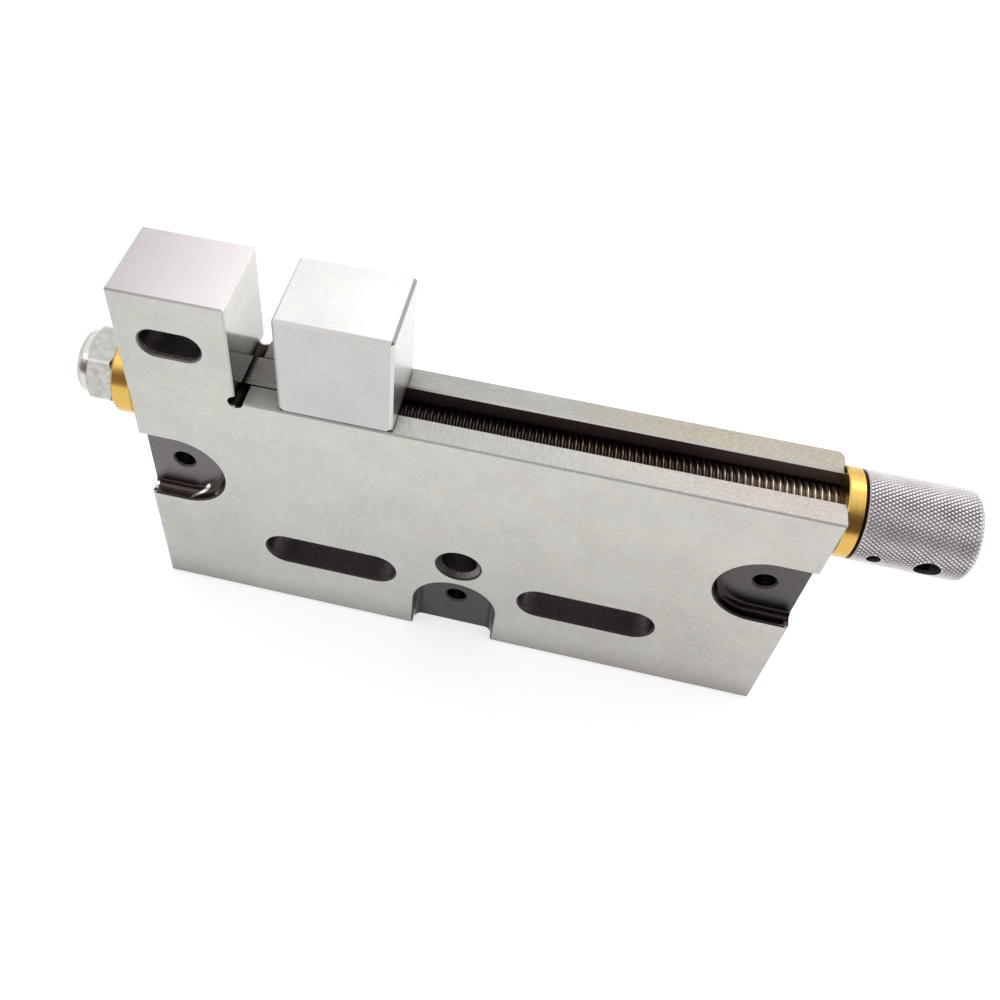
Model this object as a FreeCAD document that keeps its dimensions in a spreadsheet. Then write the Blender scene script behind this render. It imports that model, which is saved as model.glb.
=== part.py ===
import FreeCAD, Part
import math
import os
import Sketcher

# Precision vise: a ground steel body with a fixed jaw in one piece, a movable jaw
# guided in a T-slot between the rails, and a lead screw turned by a knurled knob.
#
# Frame: the origin is the middle of the body's base, +X runs along the screw towards
# the knob, +Y towards the plain back face and +Z up. All sizes are millimetres.

SIZES = {
    # Body
    "body_length": 160.0,
    "body_thickness": 21.0,
    "rail_height": 78.0,
    "jaw_height": 28.0,
    "jaw_length": 26.0,
    "edge_break": 0.4,
    "relief_radius": 1.8,
    "end_corner_radius": 1.5,
    # T-slot way
    "way_width": 8.6,
    "way_foot_width": 13.4,
    "lip_height": 4.2,
    "foot_height": 10.2,
    "tunnel_headroom": 1.0,
    "way_clearance": 0.03,
    "floor_clearance": 0.3,
    # Clamping slots
    "slot_length": 34.4,
    "slot_width": 10.8,
    "slot_centre_offset": 33.3,
    "slot_centre_height": 22.8,
    # Slot through the fixed jaw
    "jaw_slot_length": 14.2,
    "jaw_slot_width": 7.6,
    "jaw_slot_inset": 12.5,
    "jaw_slot_height": 14.2,
    # Plain locating hole
    "locating_hole_diameter": 9.0,
    "locating_hole_height": 31.9,
    "locating_hole_chamfer": 1.5,
    # Milled clamping pockets
    "pocket_depth": 3.6,
    "pocket_floor_radius": 2.0,
    "end_pocket_radius": 11.5,
    "end_pocket_inset": 8.8,
    "end_pocket_drop": 30.2,
    "base_pocket_radius": 10.7,
    "base_pocket_height": 12.8,
    "tapped_hole_diameter": 5.0,
    "tapped_hole_countersink": 0.5,
    # Movable jaw
    "jaw_opening": 10.0,
    "jaw_edge_break": 0.7,
    "jaw_foot_break": 1.0,
    "keel_reach": 12.0,
    "keel_inset": 1.0,
    # Lead screw and its bushes
    "screw_diameter": 10.0,
    "screw_drop": 7.8,
    "screw_end_chamfer": 1.0,
    "thread_clearance": 0.05,
    "journal_clearance": 0.03,
    "register_diameter": 14.0,
    "register_depth": 2.0,
    "front_flange_diameter": 20.2,
    "front_flange_thickness": 4.0,
    "rear_flange_diameter": 21.0,
    "rear_flange_thickness": 5.0,
    "flange_outer_chamfer": 0.6,
    "flange_inner_chamfer": 0.3,
    "end_float": 0.05,
    # Knob
    "knob_diameter": 20.4,
    "knob_length": 24.2,
    "knob_nose_radius": 2.0,
    "knob_inner_chamfer": 0.4,
    "knob_bore_depth": 11.0,
    "knob_bore_gap": 0.5,
    "knob_turn": 10.0,
    "bar_hole_diameter": 5.5,
    "bar_hole_inset": 8.6,
    "grub_diameter": 3.0,
    "grub_length": 4.0,
    "grub_inset": 4.4,
    "grub_socket_width": 1.5,
    "grub_socket_depth": 1.5,
    # Lock nut
    "nut_width": 17.0,
    "nut_height": 10.0,
    "nut_crown_height": 3.5,
    "nut_turn": 10.0,
    "nut_chamfer_angle": 30.0,
    "crown_diameter": 15.6,
    "crown_rounding": 2.2,
    "crown_mouth_diameter": 11.6,
    "insert_diameter": 13.4,
    "insert_thickness": 2.4,
    "insert_drop": 0.7,
    "screw_stand_out": 0.6,
}

# Names of the points of a sketch's geometry, and of its origin
START = 1
END = 2
CENTRE = 3
ORIGIN_POINT = (-1, 1)

# How far a cut runs past the solid, and how near two coordinates are one place
CUTTER_SPARE = 1.0
SAME_PLACE = 1e-4
SAME_PLANE = 1e-3
LEAST_CUT = 1e-6


class Size:
    """A size with the formula that gives it from the cells of the sheet."""

    def __init__(self, value, formula):
        self.value = value
        self.formula = formula

    def __add__(self, other):
        other = as_size(other)
        return Size(self.value + other.value, f"({self.formula} + {other.formula})")

    def __sub__(self, other):
        other = as_size(other)
        return Size(self.value - other.value, f"({self.formula} - {other.formula})")

    def __mul__(self, factor):
        return Size(self.value * factor, f"({self.formula} * {factor})")

    def __truediv__(self, divisor):
        return Size(self.value / divisor, f"({self.formula} / {divisor})")

    def __neg__(self):
        return Size(-self.value, f"(0 - {self.formula})")


def as_size(number):
    """Lets a plain number stand in a sum of sizes."""
    if isinstance(number, Size):
        return number
    return Size(float(number), str(float(number)))


ZERO = Size(0.0, "0")

document = FreeCAD.newDocument("precision_vise")
sheet = document.addObject("Spreadsheet::Sheet", "sizes")
for row, (alias, number) in enumerate(SIZES.items(), start=1):
    sheet.set(f"A{row}", alias)
    sheet.set(f"B{row}", str(number))
    sheet.setAlias(f"B{row}", alias)
document.recompute()


def size(alias):
    """The size held by one cell of the sheet."""
    return Size(float(sheet.get(alias)), f"sizes.{alias}")


# Places that several pieces share

half_length = size("body_length") / 2
half_thickness = size("body_thickness") / 2
rail_top = size("rail_height")
jaw_top = rail_top + size("jaw_height")
fixed_jaw_face = -half_length + size("jaw_length")
movable_jaw_face = fixed_jaw_face + size("jaw_opening")
lip_underside = rail_top - size("lip_height")
way_floor = lip_underside - size("foot_height")
screw_height = rail_top - size("screw_drop")
screw_radius = size("screw_diameter") / 2
bush_bore_radius = screw_radius + size("journal_clearance")
register_radius = size("register_diameter") / 2
front_flange_radius = size("front_flange_diameter") / 2
rear_flange_radius = size("rear_flange_diameter") / 2
knob_start = half_length + size("front_flange_thickness") + size("end_float")
knob_radius = size("knob_diameter") / 2
nut_start = half_length + size("rear_flange_thickness") + size("end_float")
screw_right_end = knob_start + size("knob_bore_depth") - size("knob_bore_gap")
screw_left_end = nut_start + size("nut_height") + size("screw_stand_out")


# Sketch helpers


def new_body(name):
    """An empty body whose label names its file."""
    body = document.addObject("PartDesign::Body", name)
    body.Label = name
    return body


def origin_plane(body, role):
    """One of the three planes through the body's own origin."""
    for plane in body.Origin.OriginFeatures:
        if plane.Role == role:
            return plane
    raise ValueError(f"no plane {role}")


def new_sketch(body, name, role, offset=ZERO):
    """A sketch parallel to an origin plane, moved along the plane's normal by offset."""
    sketch = body.newObject("Sketcher::SketchObject", name)
    sketch.AttachmentSupport = [(origin_plane(body, role), "")]
    sketch.MapMode = "FlatFace"
    sketch.setExpression("AttachmentOffset.Base.z", offset.formula)
    return sketch


def flat_point(across, up):
    """A point of a sketch as a vector."""
    return FreeCAD.Vector(across.value, up.value, 0)


def hold(sketch, kind, target, amount):
    """Adds a dimension to a sketch and binds it to the sheet."""
    index = sketch.addConstraint(Sketcher.Constraint(kind, *target, amount.value))
    sketch.setExpression(f"Constraints[{index}]", amount.formula)


def hold_point(sketch, geometry, point, across, up):
    """Holds one point of a sketch by its two distances from the origin."""
    hold(sketch, "DistanceX", (*ORIGIN_POINT, geometry, point), across)
    hold(sketch, "DistanceY", (*ORIGIN_POINT, geometry, point), up)


def add_outline(sketch, corners, bends=None):
    """Closed outline through corners, counterclockwise.

    bends maps a corner's index to the centre of the half circle that runs from that
    corner to the next one. Every other stretch is a straight line.
    """
    bends = bends or {}
    first = sketch.GeometryCount
    count = len(corners)
    for index, corner in enumerate(corners):
        start = flat_point(*corner)
        end = flat_point(*corners[(index + 1) % count])
        if index in bends:
            centre = flat_point(*bends[index])
            from_angle = math.atan2(start.y - centre.y, start.x - centre.x)
            to_angle = math.atan2(end.y - centre.y, end.x - centre.x)
            circle = Part.Circle(centre, FreeCAD.Vector(0, 0, 1), (start - centre).Length)
            sketch.addGeometry(Part.ArcOfCircle(circle, from_angle, to_angle))
        else:
            sketch.addGeometry(Part.LineSegment(start, end))
    for index, corner in enumerate(corners):
        following = first + (index + 1) % count
        joint = Sketcher.Constraint("Coincident", first + index, END, following, START)
        sketch.addConstraint(joint)
        hold_point(sketch, first + index, START, *corner)
    for index, (across, up) in bends.items():
        start = corners[index]
        target = (*ORIGIN_POINT, first + index, CENTRE)
        if near(start[0].value, across):
            hold(sketch, "DistanceX", target, across)
        else:
            hold(sketch, "DistanceY", target, up)


def add_box_outline(sketch, left, right, bottom, top):
    """A rectangle between two places across and two places up."""
    add_outline(sketch, [(left, bottom), (right, bottom), (right, top), (left, top)])


def add_slot_outline(sketch, across, up, length, width):
    """A level slot with fully rounded ends about a centre."""
    reach = (length - width) / 2
    radius = width / 2
    left = across - reach
    right = across + reach
    corners = [(left, up - radius), (right, up - radius), (right, up + radius), (left, up + radius)]
    add_outline(sketch, corners, {1: (right, up), 3: (left, up)})


def add_circle(sketch, across, up, radius):
    """A circle held by its centre and radius."""
    index = sketch.GeometryCount
    normal = FreeCAD.Vector(0, 0, 1)
    sketch.addGeometry(Part.Circle(flat_point(across, up), normal, radius.value))
    hold_point(sketch, index, CENTRE, across, up)
    hold(sketch, "Radius", (index,), radius)


# Feature helpers


def pad(body, name, sketch, length, reversed_way=False, symmetric=False):
    """Raises a sketch to a solid."""
    feature = body.newObject("PartDesign::Pad", name)
    feature.Profile = sketch
    feature.setExpression("Length", length.formula)
    feature.Reversed = reversed_way
    if symmetric:
        feature.SideType = "Symmetric"
    document.recompute()
    return feature


def pocket(body, name, sketch, depth=None, reversed_way=False):
    """Cuts a sketch into the solid, right through both ways where no depth is given."""
    before = body.Tip.Shape.Volume
    feature = body.newObject("PartDesign::Pocket", name)
    feature.Profile = sketch
    feature.Reversed = reversed_way
    if depth is None:
        feature.Type = "ThroughAll"
        feature.SideType = "Symmetric"
    else:
        feature.setExpression("Length", depth.formula)
    document.recompute()
    if not feature.Shape.Volume < before - LEAST_CUT:
        raise RuntimeError(f"{name} cuts nothing")
    return feature


def revolve(body, name, sketch, kind="PartDesign::Revolution"):
    """Turns a sketch once round the X axis, to add a solid or to cut one."""
    feature = body.newObject(kind, name)
    feature.Profile = sketch
    feature.ReferenceAxis = (sketch, ["H_Axis"])
    feature.Angle = 360
    document.recompute()
    return feature


def edge_names(feature, wanted):
    """Names of the edges of a feature for which wanted(edge) is true."""
    edges = enumerate(feature.Shape.Edges, start=1)
    return [f"Edge{index}" for index, edge in edges if wanted(edge)]


def dress(body, name, kind, wanted, amount_name, amount):
    """Chamfers or fillets the wanted edges of the body's last feature."""
    last = body.Tip
    names = edge_names(last, wanted)
    if not names:
        raise RuntimeError(f"{name} finds no edges")
    feature = body.newObject(kind, name)
    feature.Base = (last, names)
    feature.setExpression(amount_name, amount.formula)
    document.recompute()
    return feature


def chamfer(body, name, wanted, amount):
    """Breaks the wanted edges at 45 degrees."""
    return dress(body, name, "PartDesign::Chamfer", wanted, "Size", amount)


def fillet(body, name, wanted, radius):
    """Rounds the wanted edges."""
    return dress(body, name, "PartDesign::Fillet", wanted, "Radius", radius)


def near(number, place):
    """Whether a coordinate is at a place, within the modeller's tolerance."""
    return abs(number - place.value) < SAME_PLACE


def is_flat_at(edge, axis, place):
    """Whether the whole edge lies in the plane where one coordinate has one value."""
    box = edge.BoundBox
    ends = (getattr(box, axis + "Min"), getattr(box, axis + "Max"))
    return all(abs(end - place.value) < SAME_PLANE for end in ends)


def is_ring_at(edge, place, radius):
    """Whether the edge is a circle about the X axis at one place, with one radius."""
    if not isinstance(edge.Curve, Part.Circle):
        return False
    return near(edge.Curve.Center.x, place) and near(edge.Curve.Radius, radius)


def put(piece, across=ZERO, up=ZERO, turn=None):
    """Places a piece whose own X axis is the screw's axis, turned about that axis."""
    if turn is not None:
        turned = FreeCAD.Rotation(FreeCAD.Vector(1, 0, 0), turn.value)
        piece.Placement = FreeCAD.Placement(FreeCAD.Vector(), turned)
    piece.setExpression("Placement.Base.x", across.formula)
    piece.setExpression("Placement.Base.z", up.formula)


# Body with the fixed jaw


def mirror(body, name, features):
    """Repeats features on the other side of the body's middle."""
    feature = body.newObject("PartDesign::Mirrored", name)
    feature.Originals = features
    feature.MirrorPlane = (origin_plane(body, "YZ_Plane"), [""])
    body.Tip = feature
    document.recompute()
    return feature


def make_body():
    """The ground block, its jaw, its T-slot way and its slots, holes and pockets."""
    body = new_body("body")
    front = half_thickness

    side = new_sketch(body, "side_profile", "XZ_Plane")
    corners = [
        (-half_length, ZERO),
        (half_length, ZERO),
        (half_length, rail_top),
        (fixed_jaw_face, rail_top),
        (fixed_jaw_face, jaw_top),
        (-half_length, jaw_top),
    ]
    add_outline(side, corners)
    pad(body, "block", side, size("body_thickness"), symmetric=True)

    def is_back_end_corner(edge):
        return is_flat_at(edge, "X", half_length) and is_flat_at(edge, "Y", half_thickness)

    fillet(body, "end_corner", is_back_end_corner, size("end_corner_radius"))

    relief = new_sketch(body, "relief_profile", "XZ_Plane")
    add_circle(relief, fixed_jaw_face, rail_top, size("relief_radius"))
    pocket(body, "corner_relief", relief)

    way = new_sketch(body, "way_profile", "YZ_Plane")
    half_way = size("way_width") / 2
    half_foot = size("way_foot_width") / 2
    tunnel_top = rail_top + size("tunnel_headroom")
    corners = [
        (-half_foot, way_floor),
        (half_foot, way_floor),
        (half_foot, lip_underside),
        (half_way, lip_underside),
        (half_way, tunnel_top),
        (-half_way, tunnel_top),
        (-half_way, lip_underside),
        (-half_foot, lip_underside),
    ]
    add_outline(way, corners)
    pocket(body, "way", way)

    register = new_sketch(body, "register_profile", "YZ_Plane", -half_length)
    add_circle(register, ZERO, screw_height, register_radius)
    pocket(body, "register", register, size("register_depth"), reversed_way=True)

    slot = new_sketch(body, "clamping_slot_profile", "XZ_Plane")
    for side_sign in (-1, 1):
        add_slot_outline(
            slot,
            size("slot_centre_offset") * side_sign,
            size("slot_centre_height"),
            size("slot_length"),
            size("slot_width"),
        )
    pocket(body, "clamping_slots", slot)

    jaw_slot = new_sketch(body, "jaw_slot_profile", "XZ_Plane")
    add_slot_outline(
        jaw_slot,
        -half_length + size("jaw_slot_inset"),
        rail_top + size("jaw_slot_height"),
        size("jaw_slot_length"),
        size("jaw_slot_width"),
    )
    pocket(body, "jaw_slot", jaw_slot)

    locating = new_sketch(body, "locating_hole_profile", "XZ_Plane")
    locating_radius = size("locating_hole_diameter") / 2
    add_circle(locating, ZERO, size("locating_hole_height"), locating_radius)
    pocket(body, "locating_hole", locating)

    def is_locating_rim(edge):
        if not isinstance(edge.Curve, Part.Circle):
            return False
        return near(edge.Curve.Radius, locating_radius)

    chamfer(body, "locating_hole_rims", is_locating_rim, size("locating_hole_chamfer"))

    depth = size("pocket_depth")
    end_radius = size("end_pocket_radius")
    end_centre = half_length - size("end_pocket_inset")
    end_height = rail_top - size("end_pocket_drop")
    past_end = half_length + CUTTER_SPARE
    end_pocket = new_sketch(body, "end_pocket_profile", "XZ_Plane", front)
    corners = [
        (-past_end, end_height - end_radius),
        (-end_centre, end_height - end_radius),
        (-end_centre, end_height + end_radius),
        (-past_end, end_height + end_radius),
    ]
    add_outline(end_pocket, corners, {1: (-end_centre, end_height)})
    first_pocket = pocket(body, "end_pocket", end_pocket, depth)
    mirror(body, "end_pockets", [first_pocket])

    base_radius = size("base_pocket_radius")
    base_height = size("base_pocket_height")
    below_base = as_size(-CUTTER_SPARE)
    base_pocket = new_sketch(body, "base_pocket_profile", "XZ_Plane", front)
    corners = [
        (-base_radius, below_base),
        (base_radius, below_base),
        (base_radius, base_height),
        (-base_radius, base_height),
    ]
    add_outline(base_pocket, corners, {2: (ZERO, base_height)})
    pocket(body, "base_pocket", base_pocket, depth)

    pocket_floor = depth - half_thickness

    def is_floor_edge(edge):
        if not is_flat_at(edge, "Y", pocket_floor):
            return False
        ends = edge.BoundBox
        on_end_face = is_flat_at(edge, "X", half_length) or is_flat_at(edge, "X", -half_length)
        return not on_end_face and not (near(ends.ZMin, ZERO) and near(ends.ZMax, ZERO))

    fillet(body, "pocket_floors", is_floor_edge, size("pocket_floor_radius"))

    tapped = new_sketch(body, "tapped_hole_profile", "XZ_Plane")
    tapped_radius = size("tapped_hole_diameter") / 2
    add_circle(tapped, -end_centre, end_height, tapped_radius)
    add_circle(tapped, end_centre, end_height, tapped_radius)
    add_circle(tapped, ZERO, base_height, tapped_radius)
    pocket(body, "tapped_holes", tapped)

    def is_tapped_rim(edge):
        if not isinstance(edge.Curve, Part.Circle):
            return False
        return near(edge.Curve.Radius, tapped_radius)

    chamfer(body, "tapped_hole_rims", is_tapped_rim, size("tapped_hole_countersink"))

    plain_radii = (
        locating_radius + size("locating_hole_chamfer"),
        tapped_radius + size("tapped_hole_countersink"),
        size("relief_radius"),
    )

    def is_face_rim(edge):
        on_face = is_flat_at(edge, "Y", half_thickness) or is_flat_at(edge, "Y", -half_thickness)
        if not on_face:
            return False
        if isinstance(edge.Curve, Part.Circle):
            return not any(near(edge.Curve.Radius, radius) for radius in plain_radii)
        return True

    chamfer(body, "face_edges", is_face_rim, size("edge_break"))

    def is_way_mouth(edge):
        if not is_flat_at(edge, "Z", rail_top):
            return False
        return is_flat_at(edge, "Y", half_way) or is_flat_at(edge, "Y", -half_way)

    chamfer(body, "way_mouth_edges", is_way_mouth, size("edge_break"))

    def is_top_cross_edge(edge):
        if not is_flat_at(edge, "Z", jaw_top):
            return False
        return is_flat_at(edge, "X", fixed_jaw_face) or is_flat_at(edge, "X", -half_length)

    chamfer(body, "jaw_top_edges", is_top_cross_edge, size("edge_break"))
    return body


# Movable jaw


def make_movable_jaw():
    """The jaw block and its T-shaped keel in one piece, bored for the screw."""
    body = new_body("movable_jaw")
    jaw_end = movable_jaw_face + size("jaw_length")
    clearance = size("way_clearance")

    side = new_sketch(body, "jaw_profile", "XZ_Plane")
    add_box_outline(side, movable_jaw_face, jaw_end, rail_top, jaw_top)
    pad(body, "jaw_block", side, size("body_thickness"), symmetric=True)

    def is_foot_edge(edge):
        if not is_flat_at(edge, "Z", rail_top):
            return False
        return is_flat_at(edge, "X", jaw_end) or is_flat_at(edge, "X", movable_jaw_face)

    chamfer(body, "jaw_foot_edges", is_foot_edge, size("jaw_foot_break"))

    def is_outer_edge(edge):
        on_side = is_flat_at(edge, "Y", half_thickness) or is_flat_at(edge, "Y", -half_thickness)
        return on_side or is_flat_at(edge, "Z", jaw_top)

    chamfer(body, "jaw_edges", is_outer_edge, size("jaw_edge_break"))

    keel_start = movable_jaw_face - size("keel_reach")
    keel_length = size("keel_reach") + size("jaw_length") - size("keel_inset")
    half_neck = size("way_width") / 2 - clearance
    half_foot = size("way_foot_width") / 2 - clearance
    foot_top = lip_underside - clearance
    foot_bottom = way_floor + size("floor_clearance")
    keel = new_sketch(body, "keel_profile", "YZ_Plane", keel_start)
    corners = [
        (-half_foot, foot_bottom),
        (half_foot, foot_bottom),
        (half_foot, foot_top),
        (half_neck, foot_top),
        (half_neck, rail_top),
        (-half_neck, rail_top),
        (-half_neck, foot_top),
        (-half_foot, foot_top),
    ]
    add_outline(keel, corners)
    pad(body, "keel", keel, keel_length)

    bore = new_sketch(body, "screw_bore_profile", "YZ_Plane")
    add_circle(bore, ZERO, screw_height, screw_radius + size("thread_clearance"))
    pocket(body, "screw_bore", bore)
    return body


# Turned pieces, each modelled about its own X axis


def make_lead_screw():
    """The screw as a plain rod with chamfered ends, from the lock nut into the knob."""
    body = new_body("lead_screw")
    cut = size("screw_end_chamfer")
    profile = new_sketch(body, "screw_profile", "XZ_Plane")
    corners = [
        (-screw_left_end, ZERO),
        (screw_right_end, ZERO),
        (screw_right_end, screw_radius - cut),
        (screw_right_end - cut, screw_radius),
        (-screw_left_end + cut, screw_radius),
        (-screw_left_end, screw_radius - cut),
    ]
    add_outline(profile, corners)
    revolve(body, "rod", profile)
    put(body, up=screw_height)
    return body


def make_bush(name, flange_radius, flange_thickness, outward, has_register):
    """A brass bush against the body's end, with or without a register in it.

    The flange starts at the piece's own origin and stands out towards outward, which is
    1 for the knob end and -1 for the nut end. The register reaches the other way.
    """
    body = new_body(name)
    flange_end = flange_thickness * outward
    profile = new_sketch(body, f"{name}_profile", "XZ_Plane")
    corners = [(flange_end, bush_bore_radius), (flange_end, flange_radius), (ZERO, flange_radius)]
    if has_register:
        register_end = size("register_depth") * -outward
        corners += [(ZERO, register_radius), (register_end, register_radius)]
        corners += [(register_end, bush_bore_radius)]
    else:
        corners += [(ZERO, bush_bore_radius)]
    add_outline(profile, corners)
    revolve(body, f"{name}_ring", profile)

    def is_outer_rim(edge):
        return is_ring_at(edge, flange_end, flange_radius)

    def is_inner_rim(edge):
        return is_ring_at(edge, ZERO, flange_radius)

    chamfer(body, f"{name}_outer_rim", is_outer_rim, size("flange_outer_chamfer"))
    chamfer(body, f"{name}_inner_rim", is_inner_rim, size("flange_inner_chamfer"))
    put(body, half_length * outward, screw_height)
    return body


def make_knob():
    """The knob, bored blind for the screw, with a bar hole and a grub screw hole."""
    body = new_body("knob")
    length = size("knob_length")
    bore_depth = size("knob_bore_depth")
    profile = new_sketch(body, "knob_profile", "XZ_Plane")
    corners = [
        (ZERO, screw_radius),
        (bore_depth, screw_radius),
        (bore_depth, ZERO),
        (length, ZERO),
        (length, knob_radius),
        (ZERO, knob_radius),
    ]
    add_outline(profile, corners)
    revolve(body, "knob_blank", profile)

    def is_nose_rim(edge):
        return is_ring_at(edge, length, knob_radius)

    def is_inner_rim(edge):
        return is_ring_at(edge, ZERO, knob_radius)

    fillet(body, "knob_nose", is_nose_rim, size("knob_nose_radius"))
    chamfer(body, "knob_inner_rim", is_inner_rim, size("knob_inner_chamfer"))

    bar_hole = new_sketch(body, "bar_hole_profile", "XZ_Plane")
    add_circle(bar_hole, length - size("bar_hole_inset"), ZERO, size("bar_hole_diameter") / 2)
    pocket(body, "bar_hole", bar_hole)

    grub_hole = new_sketch(body, "grub_hole_profile", "XZ_Plane")
    add_circle(grub_hole, size("grub_inset"), ZERO, size("grub_diameter") / 2)
    pocket(body, "grub_hole", grub_hole, knob_radius, reversed_way=True)
    put(body, knob_start, screw_height, size("knob_turn"))
    return body


def make_grub_screw():
    """The socket set screw that holds the knob on the screw."""
    shank = document.addObject("Part::Cylinder", "grub_shank")
    shank.setExpression("Radius", "sizes.grub_diameter / 2")
    shank.setExpression("Height", "sizes.grub_length")
    socket = document.addObject("Part::Prism", "grub_socket")
    socket.Polygon = 6
    socket.setExpression("Circumradius", f"sizes.grub_socket_width / {math.sqrt(3):.6f}")
    socket.setExpression("Height", "sizes.grub_socket_depth")
    socket.setExpression("Placement.Base.z", "sizes.grub_length - sizes.grub_socket_depth")
    grub = document.addObject("Part::Cut", "knob_grub_screw")
    grub.Label = "knob_grub_screw"
    grub.Base = shank
    grub.Tool = socket
    outward = FreeCAD.Rotation(FreeCAD.Vector(1, 0, 0), 90 + SIZES["knob_turn"])
    direction = outward.multVec(FreeCAD.Vector(0, 0, 1))
    place = knob_start + size("grub_inset")
    start = direction * screw_radius.value + FreeCAD.Vector(place.value, 0, screw_height.value)
    grub.Placement = FreeCAD.Placement(start, outward)
    return grub


def make_lock_nut():
    """The hexagon nut with a rounded crown that holds the locking ring.

    It is modelled with its bearing face at its own origin and its crown towards -X.
    """
    body = new_body("lock_nut")
    half_width = size("nut_width") / 2
    corner_radius = half_width * (2 / math.sqrt(3))
    hexagon = new_sketch(body, "hexagon_profile", "YZ_Plane")
    corners = []
    for index in range(6):
        angle = math.radians(60 * index)
        corners.append((corner_radius * math.cos(angle), corner_radius * math.sin(angle)))
    add_outline(hexagon, corners)
    hexagon_height = size("nut_height") - size("nut_crown_height")
    pad(body, "hexagon", hexagon, hexagon_height, reversed_way=True)

    slope = math.tan(math.radians(SIZES["nut_chamfer_angle"]))
    cutter_radius = corner_radius + CUTTER_SPARE
    overhang = cutter_radius - half_width
    hexagon_end = -hexagon_height
    for name, face, inward in (("bearing", ZERO, -1), ("crown", hexagon_end, 1)):
        cut = new_sketch(body, f"{name}_chamfer_profile", "XZ_Plane")
        tip = (face, half_width)
        out = (face, cutter_radius)
        down = (face + overhang * slope * inward, cutter_radius)
        corners = [tip, out, down] if inward < 0 else [tip, down, out]
        add_outline(cut, corners)
        revolve(body, f"{name}_chamfer", cut, "PartDesign::Groove")

    crown_radius = size("crown_diameter") / 2
    crown = new_sketch(body, "crown_profile", "XZ_Plane")
    add_box_outline(crown, -size("nut_height"), hexagon_end, ZERO, crown_radius)
    revolve(body, "crown", crown)

    def is_crown_rim(edge):
        return is_ring_at(edge, -size("nut_height"), crown_radius)

    fillet(body, "crown_rounding", is_crown_rim, size("crown_rounding"))

    seat_start = -size("nut_height") + size("insert_drop")
    inside = new_sketch(body, "inside_profile", "XZ_Plane")
    insert_radius = size("insert_diameter") / 2
    mouth_radius = size("crown_mouth_diameter") / 2
    corners = [
        (-size("nut_height"), ZERO),
        (ZERO, ZERO),
        (ZERO, screw_radius),
        (seat_start + size("insert_thickness"), screw_radius),
        (seat_start + size("insert_thickness"), insert_radius),
        (seat_start, insert_radius),
        (seat_start, mouth_radius),
        (-size("nut_height"), mouth_radius),
    ]
    add_outline(inside, corners)
    revolve(body, "inside", inside, "PartDesign::Groove")
    put(body, -nut_start, screw_height, size("nut_turn"))
    return body


def make_lock_nut_insert():
    """The plastic ring in the nut's crown that grips the thread."""
    outer = document.addObject("Part::Cylinder", "insert_outer")
    outer.setExpression("Radius", "sizes.insert_diameter / 2")
    outer.setExpression("Height", "sizes.insert_thickness")
    inner = document.addObject("Part::Cylinder", "insert_inner")
    inner.setExpression("Radius", screw_radius.formula)
    inner.setExpression("Height", "sizes.insert_thickness")
    ring = document.addObject("Part::Cut", "lock_nut_insert")
    ring.Label = "lock_nut_insert"
    ring.Base = outer
    ring.Tool = inner
    ring.Placement.Rotation = FreeCAD.Rotation(FreeCAD.Vector(0, 1, 0), 90)
    place = -nut_start - size("nut_height") + size("insert_drop")
    ring.setExpression("Placement.Base.x", place.formula)
    ring.setExpression("Placement.Base.z", screw_height.formula)
    return ring


pieces = [
    make_body(),
    make_movable_jaw(),
    make_lead_screw(),
    make_bush("front_bush", front_flange_radius, size("front_flange_thickness"), 1, False),
    make_bush("rear_bush", rear_flange_radius, size("rear_flange_thickness"), -1, True),
    make_knob(),
    make_grub_screw(),
    make_lock_nut(),
    make_lock_nut_insert(),
]
document.recompute()

for thing in document.Objects:
    if "Invalid" in thing.State or "Error" in thing.State:
        raise RuntimeError(f"{thing.Label} did not build: {thing.State}")

os.makedirs("parts", exist_ok=True)
for piece in pieces:
    shape = piece.Shape
    if shape.isNull() or not shape.isValid() or len(shape.Solids) != 1:
        raise RuntimeError(f"{piece.Label} is not one valid solid")
    shape.exportStep(f"parts/{piece.Label}.step")
    box = shape.BoundBox
    print(f"{piece.Label}: volume {shape.Volume:.1f}, x {box.XMin:.2f} to {box.XMax:.2f}, "
          f"y {box.YMin:.2f} to {box.YMax:.2f}, z {box.ZMin:.2f} to {box.ZMax:.2f}")
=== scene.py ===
import math
from types import SimpleNamespace
import bmesh
import bpy
import numpy as np
from mathutils import Matrix, Vector


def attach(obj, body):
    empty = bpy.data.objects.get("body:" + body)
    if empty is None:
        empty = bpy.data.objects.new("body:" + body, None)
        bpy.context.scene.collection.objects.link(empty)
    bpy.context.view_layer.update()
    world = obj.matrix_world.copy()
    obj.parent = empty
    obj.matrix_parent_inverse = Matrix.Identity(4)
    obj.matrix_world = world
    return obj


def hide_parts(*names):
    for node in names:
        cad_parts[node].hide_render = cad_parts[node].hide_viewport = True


# Precision vise: materials for the machined pieces, a threaded screw and a knurled knob

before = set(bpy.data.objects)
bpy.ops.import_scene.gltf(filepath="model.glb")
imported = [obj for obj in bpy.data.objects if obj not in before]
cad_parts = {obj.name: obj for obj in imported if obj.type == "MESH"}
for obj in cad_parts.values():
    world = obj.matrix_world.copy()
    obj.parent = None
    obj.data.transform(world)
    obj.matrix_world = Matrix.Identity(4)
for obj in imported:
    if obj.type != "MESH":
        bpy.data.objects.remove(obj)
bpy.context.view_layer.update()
MM = 0.001

# Places on the vise in millimetres, with X along the rails, Y to the back and Z up

AXIS_HEIGHT = 70.2
POCKET_X = 71.2
POCKET_Z = 47.8
BASE_POCKET_Z = 12.8
HOLE_Z = 31.9

# Camera

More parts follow.
